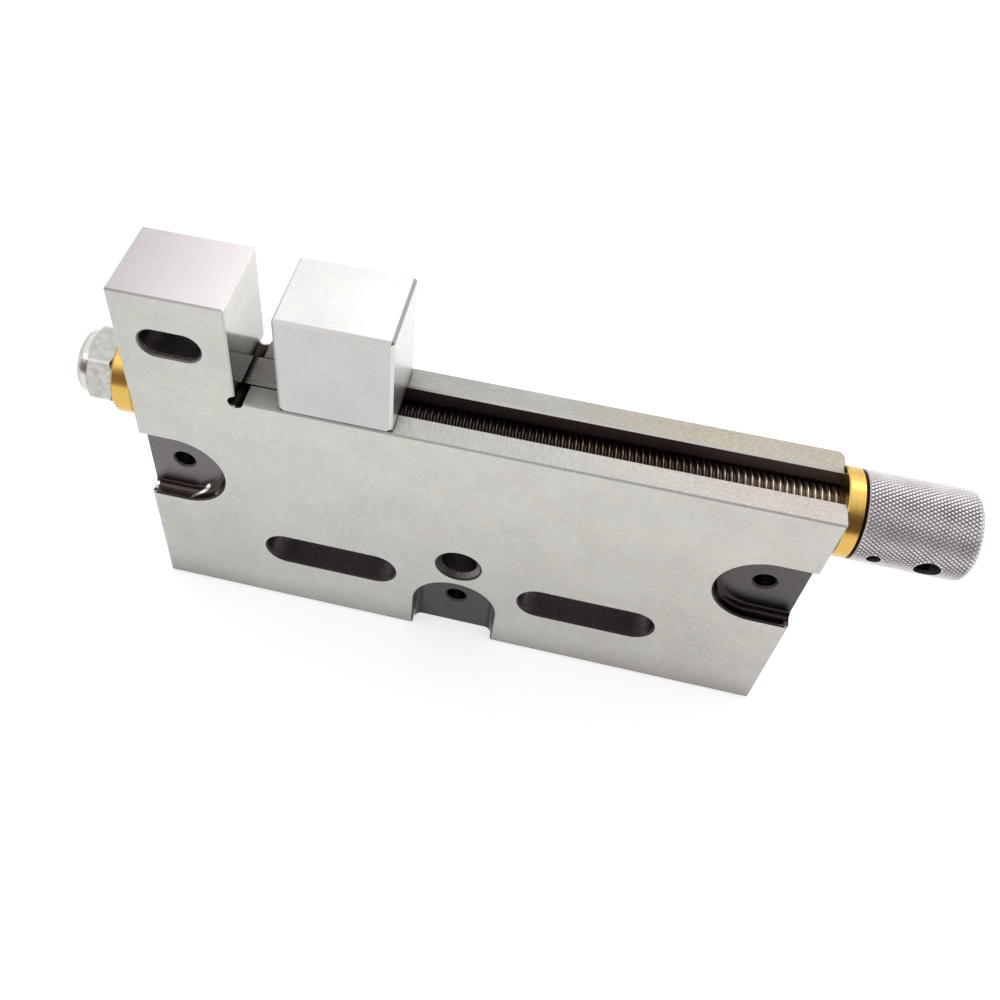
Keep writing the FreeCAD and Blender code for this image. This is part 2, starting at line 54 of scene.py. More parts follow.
CAMERA_PLACE = (0.014854, -0.156330, 0.257413)
CAMERA_RIGHT = (0.97401529, 0.22262053, 0.04164508)
CAMERA_DOWN = (0.19494868, -0.7305123, -0.65448208)
CAMERA_FORWARD = (-0.1152789, 0.64559421, -0.75492973)
CAMERA_LENS = 38.382
CAMERA_SHIFT = (0.0762, -0.0860)
SENSOR_WIDTH = 36
CLIP_NEAR = 0.01
CLIP_FAR = 20


def make_camera():
    """The camera at the photograph's place and angle."""
    data = bpy.data.cameras.new("camera")
    data.lens = CAMERA_LENS
    data.sensor_width = SENSOR_WIDTH
    data.shift_x, data.shift_y = CAMERA_SHIFT
    data.clip_start = CLIP_NEAR
    data.clip_end = CLIP_FAR
    camera = bpy.data.objects.new("camera", data)
    axes = Matrix((CAMERA_RIGHT, -Vector(CAMERA_DOWN), -Vector(CAMERA_FORWARD))).transposed()
    camera.matrix_world = Matrix.Translation(CAMERA_PLACE) @ axes.to_4x4()
    bpy.context.scene.collection.objects.link(camera)
    bpy.context.scene.camera = camera


# Nodes

NOISE_LOW = 0.3
NOISE_HIGH = 0.7
SHADE_REACH = 0.024
SHADE_RAYS = 6
SHADE_CLOSED = 0.34
SHADE_OPEN = 0.62
SHADE_TINT = (0.20, 0.17, 0.155)


class Tree:
    """Short names for the nodes of one material or world."""

    def __init__(self, owner):
        owner.use_nodes = True
        self.tree = owner.node_tree
        self.tree.nodes.clear()

    def link(self, value, socket):
        """Joins a node's output to a socket, or writes a number or colour on it."""
        if isinstance(value, bpy.types.NodeSocket):
            self.tree.links.new(value, socket)
        elif isinstance(value, (tuple, list)) and socket.type == "RGBA":
            socket.default_value = (*value[:3], 1)
        elif isinstance(value, float) and socket.type == "VECTOR":
            socket.default_value = (value, value, value)
        else:
            socket.default_value = value

    def node(self, kind, inputs=None, **settings):
        """A node with its settings and its inputs by name or number."""
        made = self.tree.nodes.new(kind)
        for name, value in settings.items():
            setattr(made, name, value)
        for name, value in (inputs or {}).items():
            self.link(value, made.inputs[name])
        return made

    def math(self, operation, first, second=0.0):
        """One sum on numbers."""
        return self.node("ShaderNodeMath", {0: first, 1: second}, operation=operation).outputs[0]

    def add(self, first, second):
        return self.math("ADD", first, second)

    def times(self, first, second):
        return self.math("MULTIPLY", first, second)

    def top(self, *values):
        """The largest of several numbers."""
        result = values[0]
        for value in values[1:]:
            result = self.math("MAXIMUM", result, value)
        return result

    def all(self, *values):
        """The product of several masks."""
        result = values[0]
        for value in values[1:]:
            result = self.times(result, value)
        return result

    def ramp(self, value, low, high, start=0.0, end=1.0):
        """start below low, end above high, and a straight line between them."""
        inputs = {"Value": value, "From Min": low, "From Max": high, "To Min": start, "To Max": end}
        return self.node("ShaderNodeMapRange", inputs, clamp=True).outputs["Result"]

    def fall(self, value, low, high):
        """1 below low, 0 above high, and a straight line between them."""
        return self.ramp(value, low, high, 1.0, 0.0)

    def spread(self, noise, start, end):
        """Noise stretched over the numbers from start to end."""
        return self.ramp(noise, NOISE_LOW, NOISE_HIGH, start, end)

    def between(self, value, low, high, soft=0.03):
        """1 between two places and 0 outside them."""
        return self.times(self.ramp(value, low - soft, low), self.fall(value, high, high + soft))

    def distance(self, first, second):
        """The length of the line whose parts along two axes are given."""
        return self.math("SQRT", self.add(self.times(first, first), self.times(second, second)))

    def mix(self, share, first, second):
        """A colour from first to second."""
        made = self.node("ShaderNodeMix", data_type="RGBA")
        self.link(share, made.inputs[0])
        self.link(first, made.inputs[6])
        self.link(second, made.inputs[7])
        return made.outputs[2]

    def blend(self, share, first, second):
        """A number from first to second."""
        made = self.node("ShaderNodeMix", data_type="FLOAT")
        self.link(share, made.inputs[0])
        self.link(first, made.inputs[2])
        self.link(second, made.inputs[3])
        return made.outputs[0]

    def scaled(self, color, factor):
        """A colour times a number or another colour."""
        return self.node("ShaderNodeVectorMath", {0: color, 1: factor}, operation="MULTIPLY").outputs[0]

    def noise(self, place, scale, detail=2.0, stretch=(1, 1, 1), roughness=0.5):
        """Noise from 0 to 1 about 0.5, with its own scale along each axis."""
        mapping = self.node("ShaderNodeMapping", {"Vector": place, "Scale": stretch})
        inputs = {"Vector": mapping.outputs[0], "Scale": scale, "Detail": detail, "Roughness": roughness}
        return self.node("ShaderNodeTexNoise", inputs).outputs[0]

    def bump(self, height, strength, distance, normal=None):
        """A normal bent by a height. distance is in metres."""
        made = self.node("ShaderNodeBump", {"Height": height, "Strength": strength, "Distance": distance})
        if normal is not None:
            self.link(normal, made.inputs["Normal"])
        return made.outputs[0]

    def surface(self, color, metallic, roughness, normal):
        """The shader and the output."""
        inputs = {"Base Color": color, "Metallic": metallic, "Roughness": roughness, "Normal": normal}
        shader = self.node("ShaderNodeBsdfPrincipled", inputs)
        output = self.node("ShaderNodeOutputMaterial")
        self.link(shader.outputs[0], output.inputs["Surface"])


class Surface(Tree):
    """A material with the place and the normal of each point, in the object's millimetres."""

    def __init__(self, name):
        self.material = bpy.data.materials.new(name)
        super().__init__(self.material)
        spots = self.node("ShaderNodeTexCoord")
        scaled = self.node("ShaderNodeVectorMath", {0: spots.outputs["Object"]}, operation="SCALE")
        scaled.inputs["Scale"].default_value = 1 / MM
        self.place = scaled.outputs[0]
        parts = self.node("ShaderNodeSeparateXYZ", {0: self.place})
        self.x, self.y, self.z = parts.outputs
        faces = self.node("ShaderNodeSeparateXYZ", {0: spots.outputs["Normal"]})
        self.nx, self.ny, self.nz = faces.outputs
        self.abs_x = self.math("ABSOLUTE", self.x)
        self.abs_y = self.math("ABSOLUTE", self.y)
        self.abs_nx = self.math("ABSOLUTE", self.nx)
        self.abs_ny = self.math("ABSOLUTE", self.ny)
        self.abs_nz = self.math("ABSOLUTE", self.nz)

    def shaded_corners(self, color, keep):
        """A colour darkened where other faces close it in. keep is a mask that holds the colour."""
        found = self.node("ShaderNodeAmbientOcclusion", {"Distance": SHADE_REACH}, samples=SHADE_RAYS)
        opened = self.top(self.ramp(found.outputs["AO"], SHADE_CLOSED, SHADE_OPEN), keep)
        return self.mix(opened, self.scaled(color, SHADE_TINT), color)

    def slanted(self, part):
        """A mask of chamfers, from the size of the normal's part along one axis."""
        return self.times(self.ramp(part, 0.3, 0.4), self.fall(part, 0.85, 0.95))

    def round_axis(self):
        """The distance from the screw's axis and the angle about it."""
        up = self.add(self.z, -AXIS_HEIGHT)
        return self.distance(self.y, up), self.math("ARCTAN2", up, self.y)


# Ground steel of the body and the movable jaw

BODY_TINT = (0.612, 0.605, 0.577)
BODY_SPECKS = (0.30, 0.29, 0.28)
BODY_GRAIN = 0.12
JAW_TINT = (0.580, 0.580, 0.580)
JAW_SPECKS = (0.25, 0.24, 0.24)
JAW_GRAIN = 0.08
GRINDING_BUMP = 0.00002


def ground_finish(s, tint, speck_tint, grain_depth):
    """Colour, lines and height of a surface ground along X, with painted shade and light in slow
    gradients.
    """
    lines = s.noise(s.place, 1.0, 3.0, (0.035, 5.0, 5.0), 0.6)
    strokes = s.noise(s.place, 1.0, 2.0, (0.25, 2.2, 2.2), 0.6)
    grain = s.noise(s.place, 4.0, 3.0)
    patches = s.noise(s.place, 0.09, 3.0)
    mottle = s.noise(s.place, 0.9, 2.0)
    mottle_depth = 0.35 * grain_depth
    tone = s.add(s.spread(lines, -0.018, 0.018), s.spread(strokes, -0.012, 0.012))
    tone = s.add(tone, s.ramp(patches, 0.35, 0.65, -0.03, 0.03))
    tone = s.add(tone, s.spread(grain, -grain_depth, grain_depth))
    tone = s.add(tone, s.spread(mottle, -mottle_depth, mottle_depth))
    # Painted shade and light: darker towards the foot, lighter towards the fixed jaw, darker towards the
    # right end.
    painted_foot_shade = s.ramp(s.z, 2.0, 60.0, 0.84, 1.0)
    painted_light_to_jaw = s.ramp(s.x, -80.0, -45.0, 0.93, 1.03)
    painted_shade_to_right = s.ramp(s.x, -45.0, 80.0, 1.0, 0.93)
    light = s.all(s.add(tone, painted_foot_shade), painted_light_to_jaw, painted_shade_to_right)

    warmth = s.noise(s.place, 0.16, 2.0, (1, 1, 1.4))
    warm_tint = (tint[0] * 1.015, tint[1] * 0.995, tint[2] * 0.975)
    warm = s.mix(s.ramp(warmth, 0.4, 0.6), tint, warm_tint)
    cast = s.mix(s.ramp(s.x, -20.0, 80.0), (0.995, 1.01, 1.0), (1.01, 0.985, 0.975))
    shaded = s.scaled(s.scaled(warm, cast), light)
    specks = s.ramp(s.noise(s.place, 0.9, 1.0), 0.80, 0.84, 0.0, 0.5)
    shaded = s.mix(specks, shaded, speck_tint)
    height = s.add(s.times(lines, 0.6), s.times(grain, 0.4))
    return shaded, lines, height


def body_masks(s):
    """Masks of the body's ground faces and of their broken edges."""
    face = s.ramp(s.abs_y, 10.02, 10.06)
    base = s.times(s.fall(s.z, 0.04, 0.06), s.ramp(s.abs_nz, 0.6, 0.7))
    end = s.times(s.ramp(s.abs_x, 79.5, 79.55), s.ramp(s.abs_nx, 0.1, 0.2))
    corner = s.times(s.ramp(s.y, 8.85, 8.9), s.ramp(s.x, 78.4, 78.45))
    rails = s.all(s.ramp(s.z, 77.5, 77.55), s.ramp(s.nz, 0.4, 0.5), s.ramp(s.x, -53.0, -52.9))
    jaw_face = s.all(s.ramp(s.z, 79.6, 79.7), s.ramp(s.nx, 0.5, 0.6), s.ramp(s.x, -54.2, -54.1))
    jaw_top = s.ramp(s.z, 105.5, 105.55)
    slant = s.slanted(s.abs_ny)
    return SimpleNamespace(
        face=face,
        rails=rails,
        jaw_face=jaw_face,
        jaw_top=jaw_top,
        outside=s.top(face, base, end, corner, rails, jaw_face, jaw_top),
        slant=slant,
        broken=s.times(slant, s.top(face, rails)),
    )


def rail_finish(s, masks, ground):
    """Rails carry more and coarser scratches, and each stretch has its own. Their tone is painted shade,
    well below the body's and darker still beside the movable jaw.
    """
    back = s.ramp(s.y, -0.5, 0.5)
    right = s.ramp(s.x, 15.0, 45.0)
    scratches = s.noise(s.place, 1.0, 4.0, (0.12, 5.0, 1.0), 0.7)
    crossed = s.noise(s.place, 1.0, 3.0, (2.6, 0.25, 1.0), 0.7)
    spotted = s.noise(s.place, 1.0, 4.0, (0.9, 2.4, 1.0), 0.7)
    left_wear = s.blend(back, s.spread(crossed, -0.13, 0.13), s.spread(scratches, -0.20, 0.20))
    wear = s.blend(right, left_wear, s.spread(spotted, -0.20, 0.20))
    # Painted shade: the rails' tone is lowered, and lowered more beside the movable jaw.
    front_light = s.ramp(s.x, -10.0, 60.0, 0.48, 0.535)
    back_light = s.ramp(s.x, -10.0, 60.0, 0.425, 0.455)
    painted_jaw_shade = s.ramp(s.x, -44.0, -18.0, 0.90, 1.0)
    light = s.times(s.blend(back, front_light, back_light), painted_jaw_shade)
    light = s.times(light, s.add(wear, 1.0))
    front_tint = s.mix(right, (1, 1, 1), (1.03, 0.98, 0.985))
    tint = s.mix(s.times(back, right), front_tint, (1.04, 1.0, 0.90))
    return s.mix(masks.rails, ground, s.scaled(ground, s.scaled(tint, light)))


def outer_edges_and_painted_light(s, masks, ground):
    """Bright broken edges, painted light and shade on the fixed jaw, and painted shade in the corners."""
    way_edge = s.times(masks.broken, s.fall(s.abs_y, 5.2, 5.3))
    top_chamfer = s.all(masks.slant, masks.jaw_top, s.ramp(s.nz, 0.3, 0.4))
    ground = s.mix(s.times(masks.broken, 0.5), ground, (0.78, 0.77, 0.74))
    ground = s.mix(way_edge, ground, (0.95, 0.93, 0.90))
    ground = s.mix(top_chamfer, ground, (0.42, 0.39, 0.37))

    ground = s.mix(s.times(masks.jaw_top, 0.6), ground, (0.605, 0.598, 0.570))
    # Painted light: the fixed jaw's top grows lighter towards the right.
    top_light = s.scaled((1.0, 0.945, 1.01), s.ramp(s.x, -79.0, -55.0, 0.97, 1.30))
    ground = s.mix(masks.jaw_top, ground, s.scaled(ground, top_light))
    # Painted shade: the fixed jaw's front is a touch darker.
    jaw_front = s.times(s.ramp(s.z, 79.0, 84.0), s.fall(s.ny, -0.9, -0.8))
    ground = s.mix(jaw_front, ground, s.scaled(ground, 0.97))

    # Painted shade with wear streaks: the fixed jaw's inner face darkens towards its foot.
    streaks = s.noise(s.place, 1.0, 3.0, (1.0, 0.22, 3.5), 0.7)
    wear = s.times(s.spread(streaks, -0.16, 0.16), s.ramp(s.z, 86.0, 96.0, 1.0, 0.5))
    face_light = s.times(s.ramp(s.z, 82.0, 98.0, 0.80, 1.12), s.add(wear, 1.0))
    ground = s.mix(masks.jaw_face, ground, s.scaled(ground, face_light))
    return s.shaded_corners(ground, s.times(masks.jaw_face, 0.8))


def dark_edges(s, masks, ground):
    """The small chamfers round the slots, pockets and hole are dark, and so is the foot."""
    face_middle = s.times(s.between(s.z, 1.2, 77.2), s.fall(s.abs_x, 79.1, 79.2))
    jaw_window = s.times(s.between(s.z, 86.5, 98.0), s.between(s.x, -76.5, -58.5))
    inner_edge = s.all(masks.slant, masks.face, s.top(face_middle, jaw_window))
    edge_color = s.mix(jaw_window, (0.075, 0.066, 0.066), (0.24, 0.22, 0.21))
    ground = s.mix(inner_edge, ground, edge_color)
    foot_edge = s.times(s.top(masks.face, masks.slant), s.fall(s.z, 0.45, 0.75))
    return s.mix(s.times(foot_edge, 0.8), ground, (0.13, 0.115, 0.11))


def pocket_floors(s, end_zone, base_zone):
    """The milled floors, painted lighter on the left, with painted shade towards their walls and in their
    low corners.
    """
    side_x = s.math("MAXIMUM", s.math("SUBTRACT", POCKET_X, s.abs_x), 0.0)
    side_reach = s.distance(side_x, s.add(s.z, -POCKET_Z))
    base_z = s.math("MAXIMUM", s.add(s.z, -BASE_POCKET_Z), 0.0)
    reach = s.math("MINIMUM", side_reach, s.distance(s.x, base_z))
    right_side = s.ramp(s.x, 40.0, 50.0)
    swirl = s.noise(s.place, 0.8, 3.0)
    # Painted light and shade: lighter on the left, darker towards the walls, the bottom and the base
    # pocket's low corner.
    light = s.add(s.ramp(s.x, -60.0, -10.0, 0.160, 0.075), s.times(right_side, 0.022))
    light = s.times(light, s.spread(swirl, 0.93, 1.07))
    light = s.times(light, s.ramp(reach, 8.2, 10.9, 1.0, 0.68))
    low_shade = s.ramp(s.z, 37.8, s.blend(right_side, 40.5, 43.8), 0.45, 1.0)
    light = s.times(light, s.blend(end_zone, 1.0, low_shade))
    corner = s.all(base_zone, s.fall(s.x, -10.5, -6.0), s.fall(s.z, 3.0, 9.0))
    light = s.times(light, s.ramp(corner, 0.0, 1.0, 1.0, 0.30))
    return s.scaled((1.075, 0.975, 0.985), light)


def pocket_walls(s):
    """The dark walls, the left one painted lighter, with a paler band and two painted highlights on it.
    """
    band = s.between(s.y, -9.4, -8.3, 0.5)
    left_wall = s.mix(band, (0.050, 0.036, 0.034), (0.105, 0.080, 0.072))
    # Painted light: the left pocket's wall is lighter than the right one's.
    color = s.mix(s.ramp(s.x, -60.0, -10.0), left_wall, (0.036, 0.027, 0.028))
    # Painted highlights: two glints on the left pocket's wall.
    slope = s.times(s.add(s.x, 69.6), -0.61)
    aside = s.math("ABSOLUTE", s.add(s.add(s.y, 9.4), slope))
    painted_glint = s.all(s.fall(aside, 0.25, 0.6), s.between(s.x, -69.6, -65.8, 0.5), s.fall(s.z, 40.0, 41.0))
    at_end = s.times(s.fall(s.x, -79.3, -79.1), s.fall(s.z, 38.0, 39.0))
    painted_end_glint = s.times(at_end, s.between(s.y, -9.0, -7.4, 0.2))
    return s.mix(s.top(painted_glint, painted_end_glint), color, (0.97, 0.95, 0.94))


def cut_color(s):
    """The slots, the holes and the way: dark, with walls that face up painted lighter and a paler lip at
    the front.
    """
    tone = s.spread(s.noise(s.place, 1.2, 3.0), 0.7, 1.3)
    # Painted light: walls that face up are lighter.
    dark = s.mix(s.ramp(s.nz, 0.3, 0.7), (0.064, 0.047, 0.056), (0.150, 0.125, 0.135))
    lip_color = s.mix(s.ramp(s.z, 80.0, 81.0), (0.150, 0.110, 0.108), (0.42, 0.38, 0.36))
    lip = s.times(s.fall(s.y, -9.25, -9.15), s.ramp(s.nz, -0.2, 0.4))
    dark = s.scaled(s.mix(lip, dark, lip_color), tone)
    way = s.times(s.ramp(s.z, 63.0, 63.1), s.fall(s.z, 79.6, 79.7))
    groove = s.times(s.ramp(s.z, 75.9, 76.0), s.between(s.x, -56.0, -52.0))
    way_color = s.mix(groove, (0.30, 0.23, 0.225), (0.03, 0.021, 0.021))
    return s.mix(way, dark, way_color)


def hole_rim(s, inside):
    """The plain hole's wide chamfer, with marks of turning and painted light on its right side."""
    up = s.add(s.z, -HOLE_Z)
    rim = s.times(s.between(s.distance(s.x, up), 4.52, 6.1), s.ramp(s.abs_y, 8.9, 8.95))
    turn = s.math("ARCTAN2", up, s.x)
    around = s.node("ShaderNodeCombineXYZ", {0: s.times(turn, 9.0), 1: 0.0, 2: 0.0}).outputs[0]
    chatter = s.noise(around, 1.0, 3.0)
    # Painted light: the chamfer is lighter on the hole's right side.
    light = s.times(s.ramp(s.nx, -0.7, 0.7, 0.26, 0.05), s.spread(chatter, 0.6, 1.5))
    return s.mix(rim, inside, s.scaled((1.0, 0.94, 0.93), light))


def tapped_holes(s):
    """A mask of the three tapped holes."""
    side = s.distance(s.add(s.abs_x, -POCKET_X), s.add(s.z, -POCKET_Z))
    low = s.distance(s.x, s.add(s.z, -BASE_POCKET_Z))
    return s.fall(s.math("MINIMUM", side, low), 2.55, 2.6)


def make_ground_steel():
    """The body: ground outside, dark where it was milled or cut inside."""
    s = Surface("ground_steel_body")
    masks = body_masks(s)
    ground, lines, height = ground_finish(s, BODY_TINT, BODY_SPECKS, BODY_GRAIN)
    ground = rail_finish(s, masks, ground)
    ground = outer_edges_and_painted_light(s, masks, ground)
    ground = dark_edges(s, masks, ground)

    end_zone = s.times(s.ramp(s.abs_x, 59.4, 59.5), s.between(s.z, 36.2, 59.4))
    base_zone = s.times(s.fall(s.abs_x, 10.75, 10.85), s.fall(s.z, 23.6, 23.7))
    pockets = s.times(s.fall(s.y, -6.85, -6.8), s.top(end_zone, base_zone))
    floor = s.ramp(s.abs_ny, 0.985, 0.995)
    tapped = tapped_holes(s)
    pocket_color = s.mix(floor, pocket_walls(s), pocket_floors(s, end_zone, base_zone))
    inside = hole_rim(s, s.mix(pockets, cut_color(s), pocket_color))
    inside = s.mix(tapped, inside, (0.012, 0.009, 0.010))
    color = s.mix(masks.outside, inside, ground)

    rough_ground = s.spread(lines, 0.30, 0.40)
    rough_ground = s.blend(masks.jaw_face, rough_ground, s.ramp(s.z, 84.0, 96.0, 0.20, 0.13))
    rough_ground = s.blend(masks.broken, rough_ground, 0.55)
    rough_inside = s.blend(pockets, 0.5, s.blend(floor, 0.13, 0.30))
    rough = s.blend(masks.outside, rough_inside, rough_ground)

    # Threads of the tapped holes are rings one millimetre apart
    ring = s.math("PINGPONG", s.y, 0.5)
    normal = s.bump(height, 0.25, GRINDING_BUMP)
    normal = s.bump(s.times(ring, tapped), 0.5, 0.001, normal)

    # The rails' rubbed edges are dull rather than shiny
    dull_edge = s.all(masks.broken, s.ramp(s.z, 77.0, 77.1), s.fall(s.z, 79.6, 79.7), masks.outside)
    s.surface(color, s.ramp(dull_edge, 0.0, 1.0, 1.0, 0.25), rough, normal)
    return s.material


def make_jaw_steel():
    """The movable jaw: paler than the body, with dark sides on its keel, painted light on its top and
    right face, and painted shade on the keel's top.
    """
    s = Surface("jaw_steel_block")
    ground, lines, height = ground_finish(s, JAW_TINT, JAW_SPECKS, JAW_GRAIN)
    block = s.ramp(s.z, 77.97, 77.98)
    keel_top = s.times(s.between(s.z, 77.95, 78.03), s.ramp(s.nz, 0.5, 0.6))
    outside = s.top(block, keel_top)
    edges = s.times(s.top(s.slanted(s.abs_ny), s.slanted(s.abs_nx)), block)
    # Painted shade with wear streaks: the keel's top between the jaws is darker.
    keel_wear_and_shade = s.spread(s.noise(s.place, 1.0, 4.0, (0.12, 3.0, 1.0), 0.7), 0.22, 0.56)
    color = s.mix(keel_top, ground, s.scaled(ground, keel_wear_and_shade))
    # Painted light: the face towards the right is lighter.
    color = s.mix(s.ramp(s.nx, 0.85, 0.95), color, s.scaled(color, 1.45))
    # Painted light: the top is lighter, most at its left end.
    top_light = s.ramp(s.x, -44.0, -30.0, 1.18, 1.12)
    color = s.mix(s.times(block, s.ramp(s.nz, 0.85, 0.95)), color, s.scaled(color, top_light))
    color = s.shaded_corners(color, 0.0)
    right_edge = s.all(edges, s.ramp(s.nx, 0.3, 0.4), s.ramp(s.nz, 0.3, 0.4))
    edge_color = s.mix(right_edge, (0.92, 0.90, 0.885), (0.34, 0.32, 0.32))
    color = s.mix(s.times(edges, 0.85), color, edge_color)
    color = s.mix(outside, (0.045, 0.040, 0.040), color)
    rough = s.blend(outside, 0.5, s.spread(lines, 0.30, 0.40))
    normal = s.bump(height, 0.25, GRINDING_BUMP)
    left_edge = s.times(edges, s.fall(s.nx, -0.4, -0.3))
    s.surface(color, s.ramp(left_edge, 0.0, 1.0, 1.0, 0.15), rough, normal)
    return s.material


# Turned and plated pieces


def make_brass():
    """Turned brass with fine rings about the screw's axis and a few stains."""
    s = Surface("turned_brass")
    radius, angle = s.round_axis()
    on_rim = s.fall(s.abs_nx, 0.5, 0.6)
    along = s.blend(on_rim, radius, s.x)
    inputs = {0: s.times(along, 14.0), 1: s.times(angle, 1.2), 2: 0.0}
    turned = s.node("ShaderNodeCombineXYZ", inputs).outputs[0]
    rings = s.node("ShaderNodeTexNoise", {"Vector": turned, "Scale": 1.0, "Detail": 3.0}).outputs[0]
    stains = s.noise(s.place, 0.5, 4.0)
    color = s.mix(s.ramp(rings, 0.35, 0.65), (0.68, 0.43, 0.105), (0.80, 0.53, 0.150))
    color = s.mix(s.ramp(stains, 0.55, 0.75, 0.0, 0.45), color, (0.55, 0.32, 0.07))
    s.surface(color, 1.0, s.spread(rings, 0.20, 0.28), s.bump(rings, 0.25, GRINDING_BUMP))
    return s.material


def make_plate():
    """Bright plating with faint stains, painted highlights along the corners and a bright shoulder."""
    s = Surface("zinc_plating")
    blotches = s.noise(s.place, 0.7, 4.0, (1, 1, 1), 0.6)
    waves = s.noise(s.place, 0.3, 2.0)
    fine = s.noise(s.place, 3.5, 3.0)
    color = s.mix(s.ramp(blotches, 0.38, 0.66), (0.585, 0.572, 0.54), (0.47, 0.458, 0.42))
    color = s.mix(s.ramp(fine, 0.62, 0.74, 0.0, 0.4), color, (0.36, 0.35, 0.32))

    # The nut's corners are 60 degrees apart
    _, turn = s.round_axis()
    sector = s.math("PINGPONG", s.add(turn, math.radians(350)), math.radians(30))
    # Painted highlights: bright lines along the nut's corners.
    corner = s.fall(sector, 0.0, math.radians(3.0))
    flank = s.fall(s.abs_nx, 0.5, 0.7)
    shoulder = s.times(s.between(s.x, -93.2, -92.4, 0.3), s.ramp(blotches, 0.3, 0.5, 0.2, 0.7))
    corner_highlight_and_shoulder = s.top(s.times(corner, flank), shoulder)
    color = s.mix(s.times(corner_highlight_and_shoulder, 0.8), color, (0.86, 0.85, 0.83))
    rough = s.ramp(blotches, 0.35, 0.65, 0.14, 0.26)
    normal = s.bump(waves, 0.35, 0.0003)
    normal = s.bump(blotches, 0.12, 0.0001, normal)
    s.surface(color, 1.0, rough, normal)
    return s.material


def make_black_steel():
    """The set screw's black oxide."""
    s = Surface("black_oxide")
    grain = s.noise(s.place, 5.0, 3.0)
    color = s.mix(grain, (0.02, 0.018, 0.018), (0.05, 0.045, 0.045))
    s.surface(color, 1.0, s.spread(grain, 0.3, 0.45), s.bump(grain, 0.3, 0.00003))
    return s.material


def make_nylon():
    """The locking ring's plastic."""
    s = Surface("milky_nylon")
    grain = s.noise(s.place, 2.5, 3.0)
    color = s.mix(grain, (0.72, 0.72, 0.66), (0.82, 0.82, 0.78))
    s.surface(color, 0.0, s.spread(grain, 0.42, 0.55), s.bump(grain, 0.2, 0.00005))
    return s.material


def make_thread_steel():
    """The screw: oily dark roots, a painted reflection that brightens crests and roots towards the knob,
    and brown crests between.
    """
    s = Surface("thread_steel")
    crest = s.node("ShaderNodeAttribute", attribute_name="height").outputs["Fac"]
    grain = s.noise(s.place, 3.0, 3.0)
    run = s.noise(s.place, 0.25, 3.0)
    # Painted reflection: crests and roots grow brighter towards the knob.
    painted_reflection_end = s.ramp(s.add(s.x, s.spread(run, -6.0, 6.0)), 44.0, 66.0)
    brown_crests = s.times(s.between(s.add(s.x, s.spread(run, -5.0, 5.0)), 18.0, 46.0, 6.0), 0.7)
    crest = s.add(crest, s.spread(grain, -0.12, 0.12))
    crest = s.ramp(crest, s.blend(painted_reflection_end, 0.40, 0.10), s.blend(painted_reflection_end, 1.0, 0.75))
    crest_color = s.mix(painted_reflection_end, (0.095, 0.068, 0.064), (0.64, 0.55, 0.45))
    crest_color = s.mix(brown_crests, crest_color, (0.27, 0.17, 0.095))
    root_color = s.mix(painted_reflection_end, (0.045, 0.033, 0.031), (0.105, 0.083, 0.072))
    color = s.mix(crest, root_color, crest_color)
    s.surface(color, 1.0, s.blend(crest, 0.45, 0.30), s.bump(grain, 0.2, 0.00003))
    return s.material


def make_knurled_steel():
    """The knob: bright diamonds with dirt and painted shade in the grooves."""
    s = Surface("knurled_steel_knob")
    height = s.node("ShaderNodeAttribute", attribute_name="height").outputs["Fac"]
    grain = s.noise(s.place, 4.0, 3.0)
    patches = s.ramp(s.noise(s.place, 0.22, 3.0), 0.35, 0.65)
    tops = s.mix(patches, (0.68, 0.65, 0.67), (0.78, 0.755, 0.77))
    # Dirt and painted shade: the grooves are darker.
    groove_dirt_and_shade = s.mix(patches, (0.21, 0.185, 0.195), (0.30, 0.275, 0.285))
    share = s.ramp(s.add(height, s.spread(grain, -0.1, 0.1)), 0.05, 0.72)
    color = s.mix(share, groove_dirt_and_shade, tops)
    radius, _ = s.round_axis()
    inner = s.times(s.fall(radius, 9.0, 9.4), s.fall(s.abs_nx, 0.5, 0.6))
    color = s.mix(inner, color, (0.02, 0.016, 0.018))
    first_line = s.fall(s.x, KNOB_START + 0.14, KNOB_START + 0.18)
    color = s.mix(first_line, color, (0.05, 0.038, 0.036))
    s.surface(color, 1.0, s.blend(share, 0.5, 0.30), s.bump(grain, 0.25, 0.00004))
    return s.material


# Meshes


def make_piece(name, points, faces, height, material):
    """An object from millimetre points, with a height from 0 to 1 on each of them."""
    mesh = bpy.data.meshes.new(name)
    mesh.from_pydata([tuple(point) for point in np.asarray(points) * MM], [], faces)
    attribute = mesh.attributes.new("height", "FLOAT", "POINT")
    attribute.data.foreach_set("value", np.asarray(height, np.float32))
    mesh.materials.append(material)
    mesh.validate()
    piece = bpy.data.objects.new(name, mesh)
    bpy.context.scene.collection.objects.link(piece)
    return piece


def finish_mesh(piece, sharp_angle):
    """Smooth shading, sharp where two faces meet at more than the angle in degrees."""
    mesh = piece.data
    mesh.shade_smooth()
    mesh.set_sharp_from_angle(angle=math.radians(sharp_angle))


# Lead screw

SCREW_LEFT = -95.65
SCREW_RIGHT = 94.55
SCREW_RADIUS = 4.99
SCREW_CHAMFER = 1.0
THREAD_PITCH = 1.5
THREAD_DEPTH = 0.88
THREAD_END = 80.0
THREAD_COLUMNS = 44
THREAD_RUN_OUT = 0.8
THREAD_PROFILE = (
    (0.0, 1.0),
    (0.11, 1.0),
    (0.27, 0.5),
    (0.43, 0.05),
    (0.56, 0.0),
    (0.68, 0.05),
    (0.84, 0.5),
)
SCREW_SHARP_ANGLE = 40


